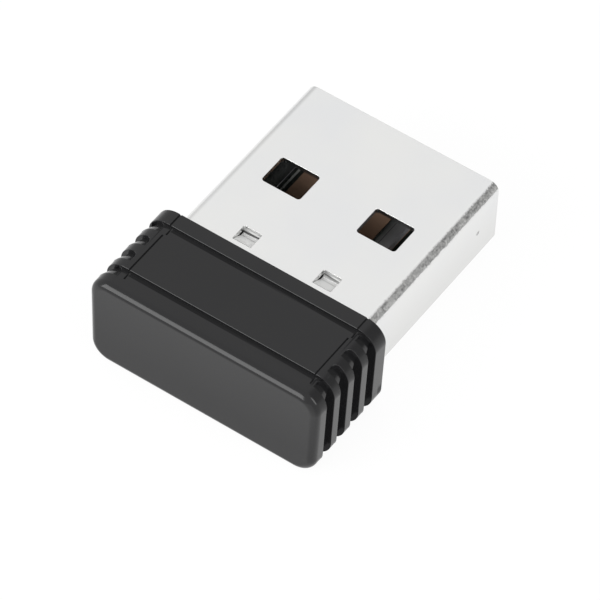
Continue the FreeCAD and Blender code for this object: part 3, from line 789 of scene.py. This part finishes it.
cap_plastic = finish("cap_plastic", (0.004, 0.004, 0.0043), (0.005, 0.005, 0.0054),
                     roughness=0.16, spread=0.08, grains=14.0, bump=0.06, height_mm=0.004)
cap_shader = cap_plastic.node_tree.nodes["Principled BSDF"]
cap_shader.inputs["IOR"].default_value = PLASTIC_IOR
cap_shader.inputs["Emission Color"].default_value = (1.0, 1.0, 1.05, 1.0)
cap_shader.inputs["Emission Strength"].default_value = HAZE
dress(cap, cap_plastic)

# %% [markdown]
# ## Masks from places
# Some effects belong to one place on a piece. A coordinate, an edge and a short fade make
# a mask: 0 on one side, 1 on the other. Two masks multiplied make a stripe, and with the
# other axes a patch.

# %% Helpers for masks
FADE = 0.05


def past(tree, coordinate, edge, fade=FADE):
    """0 before an edge and 1 past it, with a short fade."""
    over = math_node(tree, "SUBTRACT", coordinate, edge)
    return math_node(tree, "DIVIDE", over, fade, clamp=True)


def short_of(tree, coordinate, edge, fade=FADE):
    """1 before an edge and 0 past it."""
    return math_node(tree, "SUBTRACT", 1.0, past(tree, coordinate, edge, fade))


def stripe(tree, coordinate, start, end, fade=0.03):
    """1 between two places along a coordinate, with a fade after each of them."""
    return math_node(tree, "MULTIPLY", past(tree, coordinate, start, fade),
                     short_of(tree, coordinate, end, fade))


# %% [markdown]
# ## Where the cap's gloss changes
# The gloss isn't the same all over. The feet of the grooves reflect less, so they stay
# dark where the walls would otherwise mirror the bright table, and the front has a painted
# sheen that grows towards its top. A floored modulo of the distance from the first
# groove's wall finds all four grooves at once.

# %% Vary the cap's gloss
GLOSS = 0.5
DULL = 0.42
# The strength of the painted sheen up the front, and the height where it starts.
FRONT_SHEEN = 0.2
FRONT_SHEEN_FROM = -1.3
FOOT_BELOW = -1.5
FOOT_FADE = 0.3
HAIR = 0.02
FRONT_LIP = 0.6
FRONT_SKIN = 0.1


def groove_feet(tree, axes):
    """1 inside the grooves, near their lower ends."""
    from_wall = math_node(tree, "SUBTRACT", walls[0] + HAIR, axes["Y"])
    phase = math_node(tree, "FLOORED_MODULO", from_wall, GROOVE_PITCH)
    along = math_node(tree, "MULTIPLY",
                      short_of(tree, phase, GROOVE_WIDTH + 2 * HAIR, HAIR),
                      past(tree, axes["Y"], cap_low[1] + FRONT_LIP))
    within = math_node(tree, "MULTIPLY", along,
                       short_of(tree, math_node(tree, "ABSOLUTE", axes["X"]),
                                half_width - HAIR))
    return math_node(tree, "MULTIPLY", within,
                     short_of(tree, axes["Z"], FOOT_BELOW, FOOT_FADE))


def painted_front_sheen(tree, axes):
    """Painted sheen on the front face: 0 at its middle, nearly 1 just under its upper edge."""
    on_front = short_of(tree, axes["Y"], cap_low[1] + FRONT_SKIN)
    climb = math_node(tree, "MULTIPLY",
                      past(tree, axes["Z"], FRONT_SHEEN_FROM, cap_high[2] - FRONT_SHEEN_FROM),
                      short_of(tree, axes["Z"], cap_high[2] - FRONT_EDGE_RADIUS))
    return math_node(tree, "MULTIPLY", on_front, climb)


tree = cap_plastic.node_tree
axes = axes_mm(tree)
# Less gloss in the groove feet, and a painted sheen up the front.
level = math_node(tree, "MULTIPLY_ADD", groove_feet(tree, axes), -DULL, GLOSS)
brighter = math_node(tree, "MULTIPLY_ADD", painted_front_sheen(tree, axes), FRONT_SHEEN, level)
tree.links.new(brighter, cap_shader.inputs["Specular IOR Level"])

# %% [markdown]
# ## Marks and painted shade on the nickel
# The plating has a few local marks. The lances' tongues have lost some of their shine.
# Their end walls, in the recess behind the lips, are painted darker for the shade there,
# in streaks where the metal was drawn, and painted shade lies in the crease at each fold.
# One small scuff sits on the right side. The streaks are a noise squeezed along Z, so that
# it runs in lines across the lance.

# %% Masks for the lances' painted shade and the scuff
MARK_FADE = 0.02
SIDE_MARGIN = 0.03
END_MARGIN = 0.01
PRESSED_FROM = 0.09
PRESSED_FADE = 0.06
SQUEEZE = (0.6, 1.0, 9.0)
STREAKS_FROM = 0.42
STREAKS_FADE = 0.16
# A band of painted shade high on each lance's end wall, and painted shade in its crease.
HIGH_SHADE_BAND = (0.22, 0.12)
HIGH_SHADE_SHARE = 0.5
CREASE_SHADE_WIDTH = 0.06
CREASE_SHADE_SHARE = 0.3
SCUFF_AT = (6.0, 10.25, 0.06)
SCUFF_RADIUS = 0.1
SCUFF_FADE = 0.08
SCUFF_SPECKS = (0.42, 0.2)


def pressed_area(tree, axes):
    """1 on the pressed tongues of the lances, below the roof."""
    from_lance = math_node(tree, "SUBTRACT", math_node(tree, "ABSOLUTE", axes["X"]),
                           LANCE_SPACING / 2)
    off_x = past(tree, math_node(tree, "ABSOLUTE", from_lance),
                 LANCE_WIDTH / 2 - SIDE_MARGIN, MARK_FADE)
    along = math_node(tree, "SUBTRACT", axes["Y"], (lance_root + lance_end) / 2)
    off_y = past(tree, math_node(tree, "ABSOLUTE", along),
                 LANCE_LENGTH / 2 - END_MARGIN, MARK_FADE)
    on_tongue = math_node(tree, "SUBTRACT", 1.0, math_node(tree, "MAXIMUM", off_x, off_y))
    low = short_of(tree, axes["Z"], roof - PRESSED_FROM, PRESSED_FADE)
    return math_node(tree, "MULTIPLY", low, on_tongue)


def streaks_and_painted_shade(tree, place, axes):
    """Painted shade on a lance's end wall, in streaks, and in the crease at its fold."""
    squeezed = tree.nodes.new("ShaderNodeVectorMath")
    squeezed.operation = "MULTIPLY"
    squeezed.inputs[1].default_value = SQUEEZE
    tree.links.new(place, squeezed.inputs[0])
    streaks = noise_node(tree, squeezed.outputs[0], 1.0, 1.0)
    marks = past(tree, streaks, STREAKS_FROM, STREAKS_FADE)
    start, end = (roof - depth for depth in HIGH_SHADE_BAND)
    high = math_node(tree, "MULTIPLY", stripe(tree, axes["Z"], start, end), HIGH_SHADE_SHARE)
    wall_from = lance_end - LANCE_SETBACK - END_MARGIN
    wall = math_node(tree, "MULTIPLY", math_node(tree, "MAXIMUM", marks, high),
                     past(tree, axes["Y"], wall_from, MARK_FADE))
    fold = lance_end - LANCE_SETBACK - LANCE_LIP
    crease = math_node(tree, "MULTIPLY",
                       stripe(tree, axes["Y"], fold - CREASE_SHADE_WIDTH, fold), CREASE_SHADE_SHARE)
    return math_node(tree, "MAXIMUM", wall, crease)


def scuff(tree, place, specks):
    """A small scuff on the right side of the tube, broken up by the specks."""
    away = tree.nodes.new("ShaderNodeVectorMath")
    away.operation = "DISTANCE"
    away.inputs[1].default_value = SCUFF_AT
    tree.links.new(place, away.inputs[0])
    near = short_of(tree, away.outputs["Value"], SCUFF_RADIUS, SCUFF_FADE)
    return math_node(tree, "MULTIPLY", near, past(tree, specks, *SCUFF_SPECKS))


# %% [markdown]
# ## Nickel plate and its crazed bend
# The plating is bright and slightly satin. At the upper right bend, which was folded
# last, the skin is stretched and crazed: a grey, speckled band runs along it. The band is
# found from where a point lies in the tube's section, and two noises of different scales
# make its ragged edges and its specks, both in tone and in relief. The right side is
# also painted a little darker towards its foot.

# %% Finish the shell
BAND_ON_TOP = 0.38
BAND_ON_SIDE = 0.36
RAGGED = 0.25
PALE_CRAZE = (0.56, 0.56, 0.55)
DARK_CRAZE = (0.17, 0.17, 0.17)
SPECKS_PER_MM = 9.0
COARSE_PER_MM = 3.0
COARSE_SHARE = 0.5
PALE_ABOVE = 0.95
CRAZE_CONTRAST = 2.2
# The tone of the scuff and of the painted shade on the lances.
DARK_MARKS_AND_SHADE = (0.10, 0.10, 0.10)
# The darker tone painted at the foot of the right side.
SIDE_FOOT_TONE = (0.74, 0.74, 0.73)
SIDE_DARKEST_BELOW = -1.8
SIDE_DARKENS_OVER = 3.2
SIDE_SKIN = 0.1
ROUGHER = 0.2
LESS_METAL = 0.75
CRAZE_MM = 0.03
CRAZE_STRENGTH = 0.5


def lay_over(tree, shader, amount, colour):
    """Lay a colour over the shader's base colour, by an amount from 0 to 1."""
    under = shader.inputs["Base Color"].links[0].from_socket
    tree.links.new(mix_colours(tree, amount, under, colour), shader.inputs["Base Color"])


def crazed_band(tree, axes, specks):
    """1 on the upper right bend, with a ragged edge."""
    ragged = math_node(tree, "MULTIPLY", math_node(tree, "SUBTRACT", specks, 0.5), RAGGED)
    across = past(tree, math_node(tree, "ADD", axes["X"], ragged),
                  shell_high[0] - BAND_ON_TOP)
    above = past(tree, math_node(tree, "ADD", axes["Z"], ragged),
                 shell_high[2] - BAND_ON_SIDE)
    return math_node(tree, "MULTIPLY", across, above)


def darker_side_foot(tree, axes):
    """On the right side of the tube, 0 near its top and 1 near its foot."""
    lower = short_of(tree, axes["Z"], SIDE_DARKEST_BELOW, SIDE_DARKENS_OVER)
    on_side = past(tree, axes["X"], shell_high[0] - SIDE_SKIN)
    return math_node(tree, "MULTIPLY", lower, on_side)


nickel = finish("nickel_plate", (0.83, 0.83, 0.815), (0.80, 0.805, 0.81), roughness=0.24,
                spread=0.08, grains=10.0, bump=0.05, height_mm=0.004, metallic=1.0)
tree = nickel.node_tree
shader = tree.nodes["Principled BSDF"]
place = object_mm(tree)
axes = axes_mm(tree)
specks = noise_node(tree, place, SPECKS_PER_MM, 2.0, 0.6)
coarse = noise_node(tree, place, COARSE_PER_MM, 1.0)
crazed = math_node(tree, "ADD", specks, math_node(tree, "MULTIPLY", coarse, COARSE_SHARE))
band = crazed_band(tree, axes, specks)
pressed = pressed_area(tree, axes)

below = math_node(tree, "SUBTRACT", PALE_ABOVE, crazed)
dark = math_node(tree, "MULTIPLY", below, CRAZE_CONTRAST, clamp=True)
lay_over(tree, shader, band, mix_colours(tree, dark, PALE_CRAZE, DARK_CRAZE))
# Painted shade on the lances' end walls and in their creases, in streaks.
streaks_and_shade = math_node(tree, "MULTIPLY", pressed, streaks_and_painted_shade(tree, place, axes))
lay_over(tree, shader, streaks_and_shade, DARK_MARKS_AND_SHADE)
# The right side is painted darker towards its foot.
lay_over(tree, shader, darker_side_foot(tree, axes), SIDE_FOOT_TONE)
lay_over(tree, shader, scuff(tree, place, specks), DARK_MARKS_AND_SHADE)

smooth = shader.inputs["Roughness"].links[0].from_socket
worn = math_node(tree, "MAXIMUM", band, pressed)
tree.links.new(math_node(tree, "MULTIPLY_ADD", worn, ROUGHER, smooth),
               shader.inputs["Roughness"])
tree.links.new(math_node(tree, "MULTIPLY_ADD", pressed, -LESS_METAL, 1.0),
               shader.inputs["Metallic"])
crazing = tree.nodes.new("ShaderNodeBump")
crazing.inputs["Strength"].default_value = CRAZE_STRENGTH
crazing.inputs["Distance"].default_value = CRAZE_MM * MM
tree.links.new(math_node(tree, "MULTIPLY", band, crazed), crazing.inputs["Height"])
tree.links.new(shader.inputs["Normal"].links[0].from_socket, crazing.inputs["Normal"])
tree.links.new(crazing.outputs["Normal"], shader.inputs["Normal"])
dress(shell, nickel)

# %% [markdown]
# ## What shows through the windows and the mouth
# The nodes inside the plug have the right shapes already, so they stay and only get
# better finishes: dull black plastic for the carrier and its clamp, dark solder mask on
# the board, and thin gold, darkened to brown, on the contacts. The outer pair has a finish
# of its own, because light and shade are painted on it.

# %% Finishes inside the plug
# Gold darkened to a dark brown.
DARK_BROWN_GOLD = {"tone": (0.28, 0.18, 0.125), "second_tone": (0.235, 0.15, 0.105),
                "roughness": 0.3, "spread": 0.1, "grains": 6.0, "bump": 0.1, "metallic": 1.0}
MASK_GLOSS = 0.3

carrier_plastic = finish("carrier_plastic", (0.012, 0.012, 0.012), (0.016, 0.016, 0.016),
                         roughness=0.45, spread=0.1, grains=10.0, bump=0.15)
solder_mask = finish("solder_mask", (0.010, 0.013, 0.011), (0.014, 0.017, 0.015),
                     roughness=0.22, spread=0.1, grains=5.0, bump=0.12)
mask_shader = solder_mask.node_tree.nodes["Principled BSDF"]
mask_shader.inputs["Specular IOR Level"].default_value = MASK_GLOSS
gold_plate = finish("gold_plate", **DARK_BROWN_GOLD)
outer_gold = finish("outer_gold", **DARK_BROWN_GOLD)

# %% [markdown]
# ## Finishes under the cap
# The electronics are sealed in, but they are dressed too, for anyone who takes the cap
# off: matt epoxy, fired ceramic, tinned leads, copper lands and solder.

# %% Finishes of the electronics
tin_plate = finish("tin_plate", (0.66, 0.66, 0.65), (0.6, 0.6, 0.6),
                   roughness=0.38, spread=0.12, grains=12.0, bump=0.2, metallic=1.0)
solder_metal = finish("solder_metal", (0.62, 0.62, 0.63), (0.56, 0.56, 0.57),
                      roughness=0.3, spread=0.15, grains=6.0, bump=0.25, metallic=1.0)
land_copper = finish("land_copper", (0.68, 0.42, 0.28), (0.6, 0.38, 0.26),
                     roughness=0.35, spread=0.1, metallic=1.0)
chip_epoxy = finish("chip_epoxy", (0.02, 0.02, 0.021), (0.028, 0.028, 0.03),
                    roughness=0.6, spread=0.15, grains=16.0, bump=0.3)
capacitor_ceramic = finish("capacitor_ceramic", (0.30, 0.19, 0.11), (0.24, 0.15, 0.09),
                           roughness=0.5, spread=0.1, grains=14.0, bump=0.2)
resistor_glaze = finish("resistor_glaze", (0.012, 0.012, 0.014), (0.02, 0.02, 0.022),
                        roughness=0.25, spread=0.08)

# %% [markdown]
# ## Painted light and shade in the windows
# Strips painted along the plug stand for light and shade seen through the windows: painted
# shade over the outer part of the ground contact and in thin dark lines beside the contacts,
# a painted highlight along one edge of the ground contact, and a grey painted reflection of
# the shell's bright inside, brightest beside the power contact, with a bright line at the
# board's left edge. A strip runs from one X to another, and its tone may change on the way.

# %% Paint the strips of light and shade
EDGE_BLUR = 0.03
# Tones for painted shade, a painted edge highlight and painted reflections.
PAINTED_SHADE = (0.02, 0.024, 0.02)
PAINTED_EDGE_HIGHLIGHT = (0.26, 0.26, 0.25)
FAINT_PAINTED_REFLECTION = (0.045, 0.052, 0.045)
PAINTED_REFLECTION = (0.14, 0.14, 0.14)
BRIGHT_PAINTED_REFLECTION = (0.25, 0.245, 0.255)
CONTACT_LIGHT_AND_SHADE = ((-4.30, -3.76, PAINTED_SHADE, PAINTED_SHADE),
                  (-4.14, -3.98, PAINTED_EDGE_HIGHLIGHT, PAINTED_EDGE_HIGHLIGHT),
                  (2.70, 2.96, BRIGHT_PAINTED_REFLECTION, BRIGHT_PAINTED_REFLECTION),
                  (2.96, 3.20, PAINTED_SHADE, PAINTED_SHADE))
BOARD_LIGHT_AND_SHADE = ((-4.40, -4.33, BRIGHT_PAINTED_REFLECTION, BRIGHT_PAINTED_REFLECTION),
                (1.70, 1.84, PAINTED_SHADE, PAINTED_SHADE),
                (1.84, 2.10, FAINT_PAINTED_REFLECTION, PAINTED_REFLECTION),
                (2.10, 2.90, PAINTED_REFLECTION, BRIGHT_PAINTED_REFLECTION))


def paint_light_and_shade(material, strips):
    """Paint strips of light and shade over a finish: X from and to, and the tones there."""
    tree = material.node_tree
    shader = tree.nodes["Principled BSDF"]
    x = axes_mm(tree)["X"]
    for x_from, x_to, first, last in strips:
        across = tree.nodes.new("ShaderNodeMapRange")
        across.inputs["From Min"].default_value = x_from
        across.inputs["From Max"].default_value = x_to
        tree.links.new(x, across.inputs["Value"])
        tones = mix_colours(tree, across.outputs["Result"], first, last)
        inside = stripe(tree, x, x_from, x_to - EDGE_BLUR, EDGE_BLUR)
        lay_over(tree, shader, inside, tones)


# Light and shade painted on the outer contacts and on the board.
paint_light_and_shade(outer_gold, CONTACT_LIGHT_AND_SHADE)
paint_light_and_shade(solder_mask, BOARD_LIGHT_AND_SHADE)

# %% [markdown]
# ## Dress the inner nodes
# Each node of the frame that stays gets one of the finishes.

# %% Give every inner node its finish
INNER = {
    "contact_carrier": carrier_plastic,
    "board_clamp": carrier_plastic,
    "circuit_board": solder_mask,
    "power_contact": outer_gold,
    "data_minus_contact": gold_plate,
    "data_plus_contact": gold_plate,
    "ground_contact": outer_gold,
    "controller": chip_epoxy,
    "controller_leads": tin_plate,
    "board_lands": land_copper,
    "component_solder": solder_metal,
    "shell_solder": solder_metal,
    "supply_capacitor": capacitor_ceramic,
    "supply_capacitor_ends": tin_plate,
    "core_capacitor": capacitor_ceramic,
    "core_capacitor_ends": tin_plate,
    "boot_resistor": resistor_glaze,
    "boot_resistor_ends": tin_plate,
}
for node, material in INNER.items():
    dress(NODES[node], material)
print("dressed nodes:", len(INNER))

# %% [markdown]
# ## The table
# The dongle lies on its cap on a plain white table. A camera or a reflection sees the
# table mostly as plain white, and a share of it as ordinary paint that takes the
# object's soft shadow.

# %% Lay the table
TABLE_SIZE = 2.0
TABLE_TONE = 0.97
WHITE_SHARE = 0.94

bpy.ops.object.select_all(action="DESELECT")
bpy.ops.mesh.primitive_plane_add(size=TABLE_SIZE, location=(0, 0, cap_low[2] * MM))
table = bpy.context.object
table.name = "table"

paint = bpy.data.materials.new("table_white")
paint.use_nodes = True
tree = paint.node_tree
tree.nodes.clear()
output = tree.nodes.new("ShaderNodeOutputMaterial")
matte = tree.nodes.new("ShaderNodeBsdfDiffuse")
matte.inputs["Color"].default_value = (TABLE_TONE, TABLE_TONE, TABLE_TONE, 1.0)
glow = tree.nodes.new("ShaderNodeEmission")
glow.inputs["Color"].default_value = (1.0, 1.0, 1.0, 1.0)
glow.inputs["Strength"].default_value = 1.0
path = tree.nodes.new("ShaderNodeLightPath")
seen = math_node(tree, "MAXIMUM", path.outputs["Is Camera Ray"], path.outputs["Is Glossy Ray"])
seen = math_node(tree, "MAXIMUM", seen, path.outputs["Is Transmission Ray"])
both = tree.nodes.new("ShaderNodeMixShader")
tree.links.new(math_node(tree, "MULTIPLY", seen, WHITE_SHARE), both.inputs[0])
tree.links.new(matte.outputs[0], both.inputs[1])
tree.links.new(glow.outputs[0], both.inputs[2])
tree.links.new(both.outputs[0], output.inputs["Surface"])
table.data.materials.append(paint)

# %% [markdown]
# ## Light
# A glossy black object and a bright metal one both show the room more than themselves,
# so the room is what we design. It is a soft white dome. Behind the dongle it is dimmer
# near the horizon, and a grey card stands on the right: the ramps in the cap and the
# plug's right bend reflect them. The camera itself sees only white.

# %% Build the room
DOME = 1.0
CARD = 0.55
CARD_TOWARD = (0.62, 0.55, 0.56)
CARD_FROM = 0.78
CARD_FULL = 0.97
BELT = 0.18
BELT_TOWARD = (-0.15, 0.99, 0.0)
BELT_TOP = 0.72
BELT_FULL = 0.45
BELT_SIDES_FROM = 0.55
BELT_SIDES_FULL = 0.85

world = bpy.data.worlds.new("studio")
bpy.context.scene.world = world
world.use_nodes = True
tree = world.node_tree
background = tree.nodes["Background"]
direction = tree.nodes.new("ShaderNodeTexCoord").outputs["Generated"]
parts = tree.nodes.new("ShaderNodeSeparateXYZ")
tree.links.new(direction, parts.inputs[0])


def facing(vector):
    """How nearly the world's direction points along a vector, 1 at the most."""
    dot = tree.nodes.new("ShaderNodeVectorMath")
    dot.operation = "DOT_PRODUCT"
    tree.links.new(direction, dot.inputs[0])
    dot.inputs[1].default_value = Vector(vector).normalized()
    return dot.outputs["Value"]


def ramp(number, first, last, low, high):
    """A smooth step of a number's value, from one output to another."""
    node = tree.nodes.new("ShaderNodeMapRange")
    node.interpolation_type = "SMOOTHSTEP"
    for label, given in (("From Min", first), ("From Max", last),
                         ("To Min", low), ("To Max", high)):
        node.inputs[label].default_value = given
    tree.links.new(number, node.inputs["Value"])
    return node.outputs["Result"]


card = ramp(facing(CARD_TOWARD), CARD_FROM, CARD_FULL, 0.0, 1.0 - CARD)
low = ramp(parts.outputs["Z"], BELT_FULL, BELT_TOP, 1.0 - BELT, 0.0)
behind = ramp(facing(BELT_TOWARD), BELT_SIDES_FROM, BELT_SIDES_FULL, 0.0, 1.0)
belt = math_node(tree, "MULTIPLY", low, behind)
dim = math_node(tree, "MAXIMUM", card, belt)
room = math_node(tree, "MULTIPLY", math_node(tree, "SUBTRACT", 1.0, dim), DOME)
path = tree.nodes.new("ShaderNodeLightPath")
strength = tree.nodes.new("ShaderNodeMix")
tree.links.new(path.outputs["Is Camera Ray"], strength.inputs["Factor"])
tree.links.new(room, strength.inputs["A"])
strength.inputs["B"].default_value = 1.0
tree.links.new(strength.outputs["Result"], background.inputs["Strength"])
background.inputs["Color"].default_value = (1.0, 1.0, 1.0, 1.0)

# %% [markdown]
# ## Two softboxes
# A large softbox at the front left gives the highlight along the cap's front edge, and a
# narrow one on the right picks out its corners. Blender wants an area light's power, so
# we work it out from the brightness that its face should have.

# %% Light the scene


def softbox(name, toward, distance, width, height, radiance):
    """A rectangular area light in a direction from the object, with a given brightness."""
    light = bpy.data.lights.new(name, "AREA")
    light.shape = "RECTANGLE"
    light.size = width
    light.size_y = height
    light.energy = radiance * math.pi * width * height
    lamp = bpy.data.objects.new(name, light)
    bpy.context.scene.collection.objects.link(lamp)
    aim = Vector(toward).normalized()
    lamp.location = TARGET + aim * distance
    lamp.rotation_euler = aim.to_track_quat("Z", "Y").to_euler()


softbox("softbox", toward=(-0.38, -0.84, 0.335), distance=0.30,
        width=0.26, height=0.26, radiance=4.3)
softbox("side_softbox", toward=(0.83, 0.0, 0.56), distance=0.30,
        width=0.07, height=0.20, radiance=4.5)
bpy.context.scene.view_settings.view_transform = "Standard"
